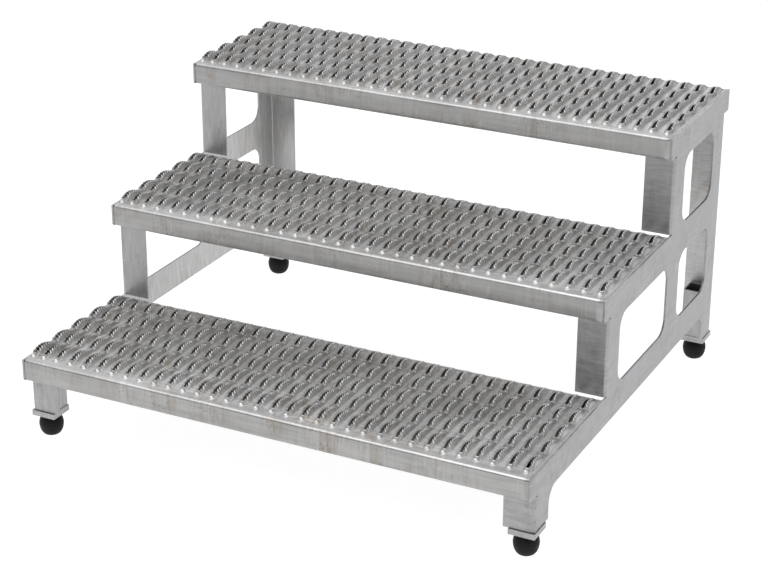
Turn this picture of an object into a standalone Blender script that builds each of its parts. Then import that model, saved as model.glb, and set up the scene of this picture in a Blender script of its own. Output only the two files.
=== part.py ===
"""Three-step aluminium mounting block, standing on four rubber levelling feet.

Two laser-cut side frames with inward flanges carry three serrated plank treads.  Each corner has a
square leg tube, a welded foot plate, a nut, a threaded stud and a rubber foot.

Axes: X across the treads, Y from the lowest step towards the highest, Z up.
Origin: on the floor, below the middle of the bounding box.  Units: metres.
"""

import math

import bmesh
import bpy
from mathutils import Matrix, Vector

MM = 0.001

# Whole stand
WIDTH = 914.4 * MM          # outer face to outer face of the side frames
RISE = 177.8 * MM           # deck to deck
RUN = 281.05 * MM           # front edge to front edge
STEPS = 3
FLOOR_TO_DECK = 149.6 * MM  # floor to the lowest deck

# Plank treads
TREAD_DEPTH = 298.45 * MM
TREAD_EDGE = 38.1 * MM      # height of the front and rear edges
TREAD_SHEET = 2.8 * MM
TREAD_BEND = 4.0 * MM       # outside bend radius
RETURN_LIP = 16.0 * MM      # flat lip turned in under each edge
COLUMN_PITCH = 27.21 * MM
COLUMNS = 33
LAST_COLUMN = 896.9 * MM    # from the left side frame's outer face
END_STRIP = 14.5 * MM       # plain strip beside the left side frame
ROWS = 5
ROW_PITCH = 55.0 * MM
ROW_START = 19.0 * MM       # from the tread's front face
SLOT_LENGTH = 42.0 * MM
SLOT_WIDTH = 8.0 * MM
LIP_RISE = 7.0 * MM         # the slot's lips stand this far above the deck

# Side frames
SIDE_SHEET = 3.2 * MM
SIDE_BEND = 5.0 * MM        # outside bend radius
FLANGE = 52.4 * MM          # flange width, from the outer face
MEMBER = 52.4 * MM          # width of the posts and rails
RECESS = 21.5 * MM          # the flange face lies this far behind the tread's front face
REAR_RECESS = 18.5 * MM     # and this far ahead of the top tread's rear face
LEG_DROP = 101.3 * MM       # lowest deck to the leg's bottom edge
RAIL_DROP = 50.0 * MM       # lowest deck to the bottom rail's lower edge
RAIL_OVER = 2.4 * MM        # a window's sill stands this far above its deck's level
MIDDLE_POST = (579.5 * MM, 636.5 * MM)
CORNER_RADIUS = 27.0 * MM   # window corners and leg fillets
EAR_RADIUS = 3.0 * MM
RELIEF = 3.0 * MM           # bend relief above each flange
FLANGE_GAP = 1.5 * MM       # flange end to the deck below it

# Legs and feet
TUBE = 38.1 * MM
TUBE_WALL = 3.2 * MM
TUBE_RADIUS = 3.0 * MM
TUBE_TOP_DROP = 11.0 * MM   # lowest deck to the tube's open top
PLATE = 44.45 * MM
PLATE_THICKNESS = 9.5 * MM
PLATE_INSET = 1.5 * MM      # the plate stands this much less proud outboard than in Y
STUD_RADIUS = 4.76 * MM
STUD_HOLE_RADIUS = 5.3 * MM
STUD_LENGTH = 64.0 * MM
STUD_CHAMFER = 0.95 * MM
STUD_HEAD_RADIUS = 10.0 * MM
STUD_HEAD_HEIGHT = 4.0 * MM
STUD_HEAD_LIFT = 13.0 * MM  # floor to the underside of the stud's head
NUT_ACROSS_FLATS = 14.3 * MM
NUT_HEIGHT = 8.3 * MM
FOOT_RADIUS = 20.5 * MM
NECK_RADIUS = 16.3 * MM
NECK_HEIGHT = 3.6 * MM
FOOT_FLAT = 9.0 * MM        # radius of the flat patch that stands on the floor
FOOT_BELLY = 20.0 * MM      # floor to the foot's widest ring

GAP = 0.3 * MM              # clearance between touching pieces
ROUND_STEPS = 16
ARC_STEPS = 5
EDGE_STEPS = 3             # facets round each bend of a tread's edge
SHARP_ANGLE = math.radians(35)  # edges sharper than this are shaded as creases on turned pieces

DEPTH = (STEPS - 1) * RUN + TREAD_DEPTH
SIDES = {"left": -1, "right": 1}

COLOURS = {
    "frame_aluminium": ((0.66, 0.66, 0.68), 0.42, 1.0),
    "tread_aluminium": ((0.60, 0.60, 0.61), 0.38, 1.0),
    "tube_aluminium": ((0.64, 0.64, 0.65), 0.45, 1.0),
    "foot_rubber": ((0.012, 0.012, 0.013), 0.6, 0.0),
    "zinc_steel": ((0.55, 0.55, 0.53), 0.35, 1.0),
}


def clear_scene():
    for obj in list(bpy.data.objects):
        bpy.data.objects.remove(obj)


def material(name):
    found = bpy.data.materials.get(name)
    if found:
        return found
    colour, roughness, metallic = COLOURS[name]
    made = bpy.data.materials.new(name)
    made.use_nodes = True
    shader = made.node_tree.nodes["Principled BSDF"]
    shader.inputs["Base Color"].default_value = (*colour, 1.0)
    shader.inputs["Roughness"].default_value = roughness
    shader.inputs["Metallic"].default_value = metallic
    made.diffuse_color = (*colour, 1.0)
    return made


def make_object(name, bm, material_name, location=(0, 0, 0)):
    mesh = bpy.data.meshes.new(name)
    bm.to_mesh(mesh)
    bm.free()
    mesh.materials.append(material(material_name))
    obj = bpy.data.objects.new(name, mesh)
    obj.location = location
    bpy.context.scene.collection.objects.link(obj)
    return obj


def rounded_loop(corners):
    """Points of a closed polygon given as (u, v, radius) corners; a radius turns the corner into an arc."""
    points = []
    for i, (u, v, radius) in enumerate(corners):
        here = Vector((u, v))
        if not radius:
            points.append(here)
            continue
        back = (Vector(corners[i - 1][:2]) - here).normalized()
        ahead = (Vector(corners[(i + 1) % len(corners)][:2]) - here).normalized()
        half = back.angle(ahead) / 2
        centre = here + (back + ahead).normalized() * radius / math.sin(half)
        start = here + back * radius / math.tan(half) - centre
        end = here + ahead * radius / math.tan(half) - centre
        turn = start.angle_signed(end)
        for step in range(ARC_STEPS + 1):
            arm = start.copy()
            arm.rotate(Matrix.Rotation(-turn * step / ARC_STEPS, 2))
            points.append(centre + arm)
    return points


def circle(radius, steps=ROUND_STEPS):
    return [Vector((radius * math.cos(math.tau * i / steps), radius * math.sin(math.tau * i / steps)))
            for i in range(steps)]


def fill_loops(bm, loops, place):
    """Fills the region between an outer loop and its holes; place turns a 2D point into a 3D one."""
    rings = []
    edges = []
    for loop in loops:
        ring = [bm.verts.new(place(p)) for p in loop]
        edges += [bm.edges.new((ring[i - 1], ring[i])) for i in range(len(ring))]
        rings.append(ring)
    bmesh.ops.triangle_fill(bm, edges=edges, use_beauty=True)
    return rings


def face_towards(bm, direction):
    """Turns an open sheet's faces so that its largest face looks along direction."""
    bmesh.ops.recalc_face_normals(bm, faces=bm.faces)
    bm.normal_update()
    largest = max(bm.faces, key=lambda f: f.calc_area())
    if largest.normal.dot(direction) < 0:
        bmesh.ops.reverse_faces(bm, faces=bm.faces)


def add_thickness(obj, thickness):
    solid = obj.modifiers.new("sheet", "SOLIDIFY")
    solid.thickness = thickness
    solid.offset = -1
    solid.use_even_offset = True


def extruded(name, loops, low, high, material_name, location=(0, 0, 0)):
    """A prism standing between two heights, with any further loops as holes through it."""
    bm = bmesh.new()
    fill_loops(bm, loops, lambda p: Vector((p.x, p.y, low)))
    grown = bmesh.ops.extrude_face_region(bm, geom=bm.faces[:])
    top = [v for v in grown["geom"] if isinstance(v, bmesh.types.BMVert)]
    bmesh.ops.translate(bm, verts=top, vec=(0, 0, high - low))
    bmesh.ops.recalc_face_normals(bm, faces=bm.faces)
    return make_object(name, bm, material_name, location)


def revolved(name, profile, material_name, location=(0, 0, 0)):
    """A turned body; the profile runs from the axis at the bottom, up the outside and back to the axis."""
    bm = bmesh.new()
    rings = []
    for radius, height in profile:
        if radius == 0:
            rings.append([bm.verts.new((0, 0, height))])
        else:
            rings.append([bm.verts.new((p.x, p.y, height)) for p in circle(radius)])
    for lower, upper in zip(rings, rings[1:]):
        for i in range(ROUND_STEPS):
            j = (i + 1) % ROUND_STEPS
            quad = [lower[i % len(lower)], lower[j % len(lower)], upper[j % len(upper)], upper[i % len(upper)]]
            bm.faces.new(list(dict.fromkeys(quad)))
    obj = make_object(name, bm, material_name, location)
    obj.data.shade_smooth()
    obj.data.set_sharp_from_angle(angle=SHARP_ANGLE)
    return obj


# --- side frames ---------------------------------------------------------------------------------

def deck_height(step):
    return FLOOR_TO_DECK + step * RISE


def flange_edges():
    """(y, low, high, way) of each flange's bend line; way is -1 for a front flange and 1 for the rear."""
    edges = []
    for step in range(STEPS):
        low = FLOOR_TO_DECK - LEG_DROP if step == 0 else deck_height(step - 1) + FLANGE_GAP
        high = deck_height(step) - TREAD_EDGE - RELIEF
        edges.append((step * RUN + RECESS + SIDE_BEND, low, high, -1))
    rear = DEPTH - REAR_RECESS - SIDE_BEND
    edges.append((rear, FLOOR_TO_DECK - LEG_DROP, deck_height(STEPS - 1) - TREAD_EDGE - RELIEF, 1))
    return edges


def side_corners():
    """Corners of the side frame's outline, measured from the lowest tread's front face and the floor."""
    corners = []
    *fronts, rear = flange_edges()
    for step, (y, low, high, _) in enumerate(fronts):
        deck = deck_height(step)
        front = step * RUN
        ear = deck - TREAD_EDGE
        corners += [(y, low, 0), (y, high, 0), (y + RELIEF, high, 0), (y + RELIEF, ear, 0)]
        corners += [(front, ear, EAR_RADIUS), (front, deck, 0)]
        if step + 1 < STEPS:
            corners.append((fronts[step + 1][0], deck, 0))
    y, low, high, _ = rear
    top = deck_height(STEPS - 1)
    corners += [(DEPTH, top, 0), (DEPTH, top - TREAD_EDGE, EAR_RADIUS)]
    corners += [(y - RELIEF, top - TREAD_EDGE, 0), (y - RELIEF, high, 0), (y, high, 0), (y, low, 0)]
    rail = FLOOR_TO_DECK - RAIL_DROP
    leg_front = DEPTH - REAR_RECESS - MEMBER
    leg_rear = RECESS + MEMBER
    corners += [(leg_front, low, 0), (leg_front, rail, CORNER_RADIUS)]
    corners += [(leg_rear, rail, CORNER_RADIUS), (leg_rear, low, 0)]
    return corners


def window(front, back, sill, head):
    corners = [(front, sill), (back, sill), (back, head), (front, head)]
    return rounded_loop([(y, z, CORNER_RADIUS) for y, z in corners])


def windows():
    rear = DEPTH - REAR_RECESS - MEMBER
    sill = [deck_height(i) + RAIL_OVER for i in range(STEPS - 1)]
    head = [deck_height(i + 1) - MEMBER for i in range(STEPS - 1)]
    return [
        window(RUN + RECESS + MEMBER, MIDDLE_POST[0], sill[0], head[0]),
        window(MIDDLE_POST[1], rear, sill[0], head[0]),
        window(MIDDLE_POST[1], rear, sill[1], head[1]),
    ]


def side_frame(side):
    way = SIDES[side]

    def place(depth_in, y, z):
        return Vector((way * (WIDTH / 2 - depth_in), y - DEPTH / 2, z))

    bm = bmesh.new()
    outline = rounded_loop(side_corners())
    rings = fill_loops(bm, [outline, *windows()], lambda p: place(0, p.x, p.y))
    for y, low, high, turn in flange_edges():
        ends = [rings[0][min(range(len(outline)), key=lambda i: (outline[i] - Vector((y, z))).length)]
                for z in (low, high)]
        for step in range(1, ARC_STEPS + 1):
            angle = math.pi / 2 * step / ARC_STEPS
            inwards = SIDE_BEND * (1 - math.cos(angle))
            along = y + turn * SIDE_BEND * math.sin(angle)
            ends = add_strip(bm, ends, [place(inwards, along, z) for z in (low, high)])
        add_strip(bm, ends, [place(FLANGE, along, z) for z in (low, high)])
    face_towards(bm, Vector((way, 0, 0)))
    frame = make_object(side + "_side_frame", bm, "frame_aluminium")
    add_thickness(frame, SIDE_SHEET)


def add_strip(bm, ends, points):
    new = [bm.verts.new(p) for p in points]
    bm.faces.new((ends[0], ends[1], new[1], new[0]))
    return new


# --- treads --------------------------------------------------------------------------------------

def edge_profile():
    """(outwards, height) points down a tread's edge from the deck's bend line to the return lip's end."""
    points = []
    for step in range(1, EDGE_STEPS + 1):
        angle = math.pi / 2 * step / EDGE_STEPS
        points.append((TREAD_BEND * math.sin(angle), -TREAD_BEND * (1 - math.cos(angle))))
    for step in range(EDGE_STEPS + 1):
        angle = math.pi / 2 * step / EDGE_STEPS
        points.append((TREAD_BEND * math.cos(angle), TREAD_BEND * (1 - math.sin(angle)) - TREAD_EDGE))
    points.append((TREAD_BEND - RETURN_LIP, -TREAD_EDGE))
    return points


def column_lines(left, right):
    """X positions of the valleys between the columns of slots."""
    lines = [left, left + END_STRIP]
    for column in range(1, COLUMNS):
        lines.append(LAST_COLUMN - (COLUMNS - column - 0.5) * COLUMN_PITCH - WIDTH / 2)
    return [*lines, right]


def slot_cell(bm, corners, centre, mid, deck):
    """A raised cell of the deck with a pointed slot: its tips lie on the deck and its lips stand above it."""
    tips = [bm.verts.new((centre, mid + way * SLOT_LENGTH / 2, deck)) for way in (-1, 1)]
    lips = [bm.verts.new((centre + way * SLOT_WIDTH / 2, mid, deck + LIP_RISE)) for way in (1, -1)]
    ring = [tips[0], lips[0], tips[1], lips[1]]
    for i, vert in enumerate(ring):
        after = ring[(i + 1) % 4]
        bm.faces.new((corners[i], corners[(i + 1) % 4], vert))
        bm.faces.new((corners[(i + 1) % 4], after, vert))


def tread(name, step):
    deck = deck_height(step)
    front = step * RUN - DEPTH / 2
    half = WIDTH / 2 - SIDE_SHEET - GAP
    bm = bmesh.new()
    xs = column_lines(-half, half)
    ys = [front + ROW_START + row * ROW_PITCH for row in range(ROWS + 1)]
    grid = [[bm.verts.new((x, y, deck)) for x in xs] for y in ys]
    for row in range(ROWS):
        mid = (ys[row] + ys[row + 1]) / 2
        for column in range(len(xs) - 1):
            corners = [grid[row][column], grid[row][column + 1], grid[row + 1][column + 1], grid[row + 1][column]]
            if column == 0:
                bm.faces.new(corners)
            else:
                slot_cell(bm, corners, (xs[column] + xs[column + 1]) / 2, mid, deck)
    for line, bend_line, way in ((grid[0], front + TREAD_BEND, -1),
                                 (grid[-1], front + TREAD_DEPTH - TREAD_BEND, 1)):
        ends = [bm.verts.new((x, bend_line, deck)) for x in (-half, half)]
        bm.faces.new([*line, ends[1], ends[0]])
        for out, height in edge_profile():
            ends = add_strip(bm, ends, [Vector((x, bend_line + way * out, deck + height)) for x in (-half, half)])
    bmesh.ops.recalc_face_normals(bm, faces=bm.faces)
    bm.normal_update()
    if max(bm.faces, key=lambda f: f.calc_center_median().z).normal.z < 0:
        bmesh.ops.reverse_faces(bm, faces=bm.faces)
    plank = make_object(name, bm, "tread_aluminium")
    add_thickness(plank, TREAD_SHEET)


# --- legs and feet -------------------------------------------------------------------------------

def square(size, radius=0.0):
    half = size / 2
    return rounded_loop([(u * half, v * half, radius) for u, v in ((-1, -1), (1, -1), (1, 1), (-1, 1))])


def foot_profile():
    """Outside of the rubber foot, then the socket moulded round the stud's head."""
    top = FLOOR_TO_DECK - LEG_DROP - GAP - PLATE_THICKNESS - GAP
    points = [(0, 0), (FOOT_FLAT, 0)]
    for step in range(1, ARC_STEPS + 1):
        angle = math.pi / 2 * step / ARC_STEPS
        points.append((FOOT_FLAT + (FOOT_RADIUS - FOOT_FLAT) * math.sin(angle),
                       FOOT_BELLY * (1 - math.cos(angle))))
    shoulder = top - NECK_HEIGHT
    for step in range(1, ARC_STEPS + 1):
        angle = math.pi / 2 * step / ARC_STEPS
        points.append((NECK_RADIUS + (FOOT_RADIUS - NECK_RADIUS) * math.cos(angle),
                       FOOT_BELLY + (shoulder - FOOT_BELLY) * math.sin(angle)))
    head_top = STUD_HEAD_LIFT + STUD_HEAD_HEIGHT + GAP
    head_low = STUD_HEAD_LIFT - GAP
    points += [(NECK_RADIUS, top), (STUD_HOLE_RADIUS, top), (STUD_HOLE_RADIUS, head_top)]
    points += [(STUD_HEAD_RADIUS + GAP, head_top), (STUD_HEAD_RADIUS + GAP, head_low), (0, head_low)]
    return points


def stud_profile():
    low = STUD_HEAD_LIFT
    high = low + STUD_HEAD_HEIGHT
    top = low + STUD_LENGTH
    return [(0, low), (STUD_HEAD_RADIUS, low), (STUD_HEAD_RADIUS, high), (STUD_RADIUS, high),
            (STUD_RADIUS, top - STUD_CHAMFER), (STUD_RADIUS - STUD_CHAMFER, top), (0, top)]


def leg(corner, side, plane, facing):
    """One corner's tube, plate, nut, stud and foot; plane is the flange's outer face, facing its normal."""
    way = SIDES[side]
    tube_x = way * (WIDTH / 2 - SIDE_SHEET - GAP - TUBE / 2)
    tube_y = plane - facing * (SIDE_SHEET + GAP + TUBE / 2) - DEPTH / 2
    plate_x = tube_x + way * (PLATE - TUBE) / 2 - way * PLATE_INSET
    plate_y = tube_y + facing * (PLATE - TUBE) / 2
    bottom = FLOOR_TO_DECK - LEG_DROP
    plate_top = bottom - GAP
    plate_low = plate_top - PLATE_THICKNESS
    nut_radius = NUT_ACROSS_FLATS / math.sqrt(3)
    axis = (plate_x, plate_y, 0)

    extruded("leg_tube_" + corner, [square(TUBE, TUBE_RADIUS), square(TUBE - 2 * TUBE_WALL)],
             bottom, FLOOR_TO_DECK - TUBE_TOP_DROP, "tube_aluminium", (tube_x, tube_y, 0))
    extruded("foot_plate_" + corner, [square(PLATE), circle(STUD_HOLE_RADIUS)],
             plate_low, plate_top, "tube_aluminium", axis)
    extruded("foot_nut_" + corner, [circle(nut_radius, 6), circle(STUD_HOLE_RADIUS)],
             plate_top + GAP, plate_top + GAP + NUT_HEIGHT, "zinc_steel", axis)
    revolved("foot_stud_" + corner, stud_profile(), "zinc_steel", axis)
    revolved("rubber_foot_" + corner, foot_profile(), "foot_rubber", axis)


def main():
    clear_scene()
    for side in SIDES:
        side_frame(side)
    for step, name in enumerate(("tread_bottom", "tread_middle", "tread_top")):
        tread(name, step)
    for side in SIDES:
        leg("front_" + side, side, RECESS, -1)
        leg("rear_" + side, side, DEPTH - REAR_RECESS, 1)


main()
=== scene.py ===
"""Looks of the three-step aluminium mounting block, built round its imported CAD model.

Every piece is placed from the CAD boxes, in metres: X across the treads, Y from the lowest step towards
the highest, Z up from the floor.
"""

import math

import bmesh
import bpy
from mathutils import Matrix, Vector


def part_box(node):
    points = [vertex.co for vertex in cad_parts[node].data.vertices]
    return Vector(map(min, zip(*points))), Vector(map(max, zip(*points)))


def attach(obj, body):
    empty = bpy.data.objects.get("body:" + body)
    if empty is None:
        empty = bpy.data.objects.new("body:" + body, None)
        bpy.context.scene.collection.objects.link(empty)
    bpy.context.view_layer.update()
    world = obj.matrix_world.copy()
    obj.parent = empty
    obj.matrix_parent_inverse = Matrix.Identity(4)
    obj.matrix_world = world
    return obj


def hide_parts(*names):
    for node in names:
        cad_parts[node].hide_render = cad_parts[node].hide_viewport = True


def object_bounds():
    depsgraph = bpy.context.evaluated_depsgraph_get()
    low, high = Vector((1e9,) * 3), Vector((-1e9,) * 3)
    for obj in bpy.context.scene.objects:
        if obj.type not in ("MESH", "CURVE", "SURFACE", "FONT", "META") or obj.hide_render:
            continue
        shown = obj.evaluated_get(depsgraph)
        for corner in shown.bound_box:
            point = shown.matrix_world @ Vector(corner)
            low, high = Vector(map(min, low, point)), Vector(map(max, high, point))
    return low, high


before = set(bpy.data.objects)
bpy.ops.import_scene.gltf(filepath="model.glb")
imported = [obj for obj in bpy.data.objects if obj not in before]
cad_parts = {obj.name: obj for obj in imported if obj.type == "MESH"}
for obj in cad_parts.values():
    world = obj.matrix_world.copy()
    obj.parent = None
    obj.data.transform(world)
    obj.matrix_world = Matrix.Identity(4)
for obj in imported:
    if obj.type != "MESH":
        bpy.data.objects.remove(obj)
CAD_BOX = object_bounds()

MM = 0.001
STAND = "stand"

# Sheet metal, as in the CAD
SIDE_SHEET = 3.2 * MM
SIDE_BEND = 5.0 * MM
FLANGE = 52.4 * MM
MEMBER = 52.4 * MM
MIDDLE_POST = (579.5 * MM, 636.5 * MM)  # behind the lowest tread's front face
RAIL_DROP = 50.0 * MM
RAIL_OVER = 2.4 * MM
CORNER_RADIUS = 27.0 * MM
EAR_RADIUS = 3.0 * MM
RELIEF = 2.2 * MM
FLANGE_GAP = 1.5 * MM
TREAD_EDGE = 38.1 * MM
TREAD_SHEET = 2.6 * MM
TREAD_BEND = 5.0 * MM
RETURN_LIP = 16.0 * MM
GAP = 0.3 * MM

# The planks' pattern
COLUMN_PITCH = 27.21 * MM
FIRST_REGULAR_COLUMN = 53.3 * MM     # from the left side frame's outer face
REGULAR_COLUMNS = 32
END_COLUMNS = (7.5 * MM, 28.5 * MM)  # the crowded ones by the plank's left end
ROWS = 5
ROW_PITCH = 55.0 * MM
FIRST_NUB = 21.5 * MM    # from the plank's front to the row of nubs before the slots
RIB_HALF = 9.0 * MM      # half the width of a column's raised rib
RIB_FULLNESS = 2.8       # exponent of the rib's rounded cross-section
RIB_FADE = 2.6 * MM      # the ribs' rear ends
SADDLE_HEIGHT = 3.5 * MM  # the rib between two slots
ARCH_HEIGHT = 10.4 * MM  # and over the middle of a slot
ARCH_SKEW = 0.80         # below 1 puts the arch's top nearer its blunt end
SLOT_LEAD = 6.5 * MM     # from a nub's middle to its slot's blunt end
SLOT_LENGTH = 45.5 * MM
LAST_SLOT_LENGTH = 40.5 * MM  # the rear row stops short of the bend
SLOT_NARROW = 1.9 * MM   # half-width of a slot's narrow part
SLOT_MOUTH = 0.8 * MM    # how much wider half a slot is at its blunt end
SLOT_CLOSE = 0.08        # share of the slot's length in which its narrow end closes
BLUNT_END = 0.015        # share in which its blunt end opens
LIP_EDGE = 1.9 * MM      # cut edge of a slot's lip at its mouth, with a painted highlight, above its inner wall painted dark as shade
LIP_EDGE_END = 0.9 * MM  # and along the narrow part
CUT_EDGE = 0.25 * MM     # of that edge, the top with the strongest painted highlight
WALL_DEPTH = 3.6 * MM    # deck to the bottom of the inner wall
WALL_SHIFT = 0.2 * MM    # how far the wall leans
TEETH = 7
TOOTH_DEPTH = 3.3 * MM
TOOTH_RISE = 0.9 * MM    # of the teeth's tips above the rib
TOOTH_SPREAD = 1.1 * MM  # how much wider half a slot is between two teeth
TOOTH_ROOT = 0.3         # share of a tooth's depth that is left one line away from the lip
RIPPLE_DEPTH = 0.20 * MM  # of the press marks across the valleys, in step with the teeth
NUB_HEIGHT = 4.3 * MM
NUB_REACH = 5.2 * MM
NUB_FULLNESS = 0.55      # exponent of the nub's dome
KNOT_HEIGHT = 0.3 * MM   # of the small knots on the rib, above the saddle
KNOT_REACH = 4.8 * MM
APRON_REACH = 0.8 * MM   # of the fillet at a rib's foot
FLAT_BAND = 1.0 * MM     # plain strip before each bend
BEND_HIGHLIGHT = 0.1          # painted highlight along the bend
# painted highlight on the nubs' tips
NUB_HIGHLIGHT = 0.3
CROWN_HIGHLIGHT = 0.05        # painted highlight on top of the ribs between the slots

# Legs and feet
TUBE_WALL = 3.2 * MM
TUBE_RADIUS = 3.2 * MM
CORNER_SOFTNESS = 0.8 * MM  # inside the tube, and round the plate's corners
BORE_RADIUS = 5.2 * MM      # of the plate's hole and the nut
HEAD_RADIUS = 9.9 * MM      # of the stud's head, inside the rubber
HEAD_HEIGHT = 4.0 * MM
HEAD_CHAMFER = 0.5 * MM
SHANK_RADIUS = 4.7 * MM
THREAD_PITCH = 1.5875 * MM
THREAD_DEPTH = 0.85 * MM
NECK_RADIUS = 16.3 * MM
FOOT_FLAT = 9.0 * MM
FOOT_BELLY = 20.0 * MM
MOULD_SEAM = 0.22 * MM
SOCKET_RADIUS = 5.4 * MM    # the hole in the rubber foot
SOCKET_DEPTH = 20.0 * MM
DUST_HEIGHT = 14.0 * MM     # dust on the rubber fades out up to here

# Welds
WELD_RIPPLE = 1.9 * MM
STITCH_HALF = 19.0 * MM
STITCH_RADIUS = 3.0 * MM
TUBE_BEAD = 2.2 * MM
PLATE_BEAD = 1.5 * MM

# The studio
FLOOR_LEVEL = -19.5 * MM  # just under a foot that is screwed all the way out
FLOOR_HALF = 60.0

# Camera, measured from the middle of the CAD box
CAMERA_AZIMUTH = 26.70
CAMERA_ELEVATION = 23.545
CAMERA_ROLL = 0.115
CAMERA_DISTANCE = 3.515
CAMERA_ASIDE = (-0.0021, -0.0518)  # to the right and up, in the picture's own directions
LENS = 96.0
SENSOR = 36.0

TREADS = ("tread_bottom", "tread_middle", "tread_top")
SIDES = {"left": -1, "right": 1}
CORNERS = ("front_left", "front_right", "rear_left", "rear_right")

HALF_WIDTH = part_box("right_side_frame")[1].x
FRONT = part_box("tread_bottom")[0].y
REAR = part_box("tread_top")[1].y
DECKS = [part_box(name)[0].z + TREAD_EDGE for name in TREADS]
FRONTS = [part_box(name)[0].y for name in TREADS]
LEG_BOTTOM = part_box("left_side_frame")[0].z


# --- materials -----------------------------------------------------------------------------------

class Nodes:
    """Short names for the shader nodes that the materials use."""

    def __init__(self, name):
        self.material = bpy.data.materials.new(name)
        self.material.use_nodes = True
        self.tree = self.material.node_tree
        self.shader = self.tree.nodes["Principled BSDF"]
        self.place = self.tree.nodes.new("ShaderNodeTexCoord").outputs["Object"]

    def join(self, source, socket):
        self.tree.links.new(source, socket)

    def stretched(self, scale, offset=0.0):
        node = self.tree.nodes.new("ShaderNodeMapping")
        node.inputs["Scale"].default_value = scale
        node.inputs["Location"].default_value = (offset, offset * 0.7, offset * 1.3)
        self.join(self.place, node.inputs["Vector"])
        return node.outputs["Vector"]

    def noise(self, scale, detail=3.0, roughness=0.5, offset=0.0, distortion=0.0):
        node = self.tree.nodes.new("ShaderNodeTexNoise")
        node.inputs["Scale"].default_value = 1.0
        node.inputs["Detail"].default_value = detail
        node.inputs["Roughness"].default_value = roughness
        node.inputs["Distortion"].default_value = distortion
        self.join(self.stretched(scale, offset), node.inputs["Vector"])
        return node.outputs["Fac"]

    def spread(self, value, low, high, out_low=0.0, out_high=1.0):
        node = self.tree.nodes.new("ShaderNodeMapRange")
        limits = {"From Min": low, "From Max": high, "To Min": out_low, "To Max": out_high}
        for socket, number in limits.items():
            node.inputs[socket].default_value = number
        self.join(value, node.inputs["Value"])
        return node.outputs["Result"]

    def maths(self, operation, first, second):
        node = self.tree.nodes.new("ShaderNodeMath")
        node.operation = operation
        for socket, value in zip(node.inputs, (first, second)):
            if isinstance(value, (int, float)):
                socket.default_value = value
            else:
                self.join(value, socket)
        return node.outputs["Value"]

    def mix(self, amount, first, second):
        node = self.tree.nodes.new("ShaderNodeMix")
        node.data_type = "RGBA"
        self.join(amount, node.inputs["Factor"])
        for socket, value in zip(("A", "B"), (first, second)):
            target = [s for s in node.inputs if s.name == socket and s.type == "RGBA"][0]
            if isinstance(value, tuple):
                target.default_value = (*value, 1.0)
            else:
                self.join(value, target)
        return [s for s in node.outputs if s.type == "RGBA"][0]

    def scaled(self, colour, value):
        """colour times a grey value."""
        node = self.tree.nodes.new("ShaderNodeVectorMath")
        node.operation = "SCALE"
        self.join(colour, node.inputs[0])
        self.join(value, node.inputs["Scale"])
        return node.outputs[0]

    def attribute(self, name):
        node = self.tree.nodes.new("ShaderNodeAttribute")
        node.attribute_name = name
        return node.outputs["Fac"]

    def part(self, vector, axis):
        node = self.tree.nodes.new("ShaderNodeSeparateXYZ")
        self.join(vector, node.inputs[0])
        return node.outputs[axis]

    def upward(self):
        """1 on surfaces that face up."""
        geometry = self.tree.nodes.new("ShaderNodeNewGeometry")
        return self.spread(self.part(geometry.outputs["Normal"], "Z"), 0.85, 0.98)

    def bump(self, height, strength, distance):
        node = self.tree.nodes.new("ShaderNodeBump")
        node.inputs["Strength"].default_value = strength
        node.inputs["Distance"].default_value = distance
        self.join(height, node.inputs["Height"])
        self.join(node.outputs["Normal"], self.shader.inputs["Normal"])


def tinted(colour, factor):
    return tuple(c * factor for c in colour)


CLEAN_END = (0.24, 0.40)    # X over which a plank's stains thin out towards its right end
TOP_LIGHT_GAIN = 2.47          # painted light: how much brighter the planks' decks are painted than their edges
EDGE_HIGHLIGHT_GAIN = 2.0           # painted highlight: how much brighter the side sheets' upward-facing top edges are painted than their faces
# painted shadow: near black put inside the slots
SLOT_SHADE_COLOUR = (0.05, 0.05, 0.05)


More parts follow.
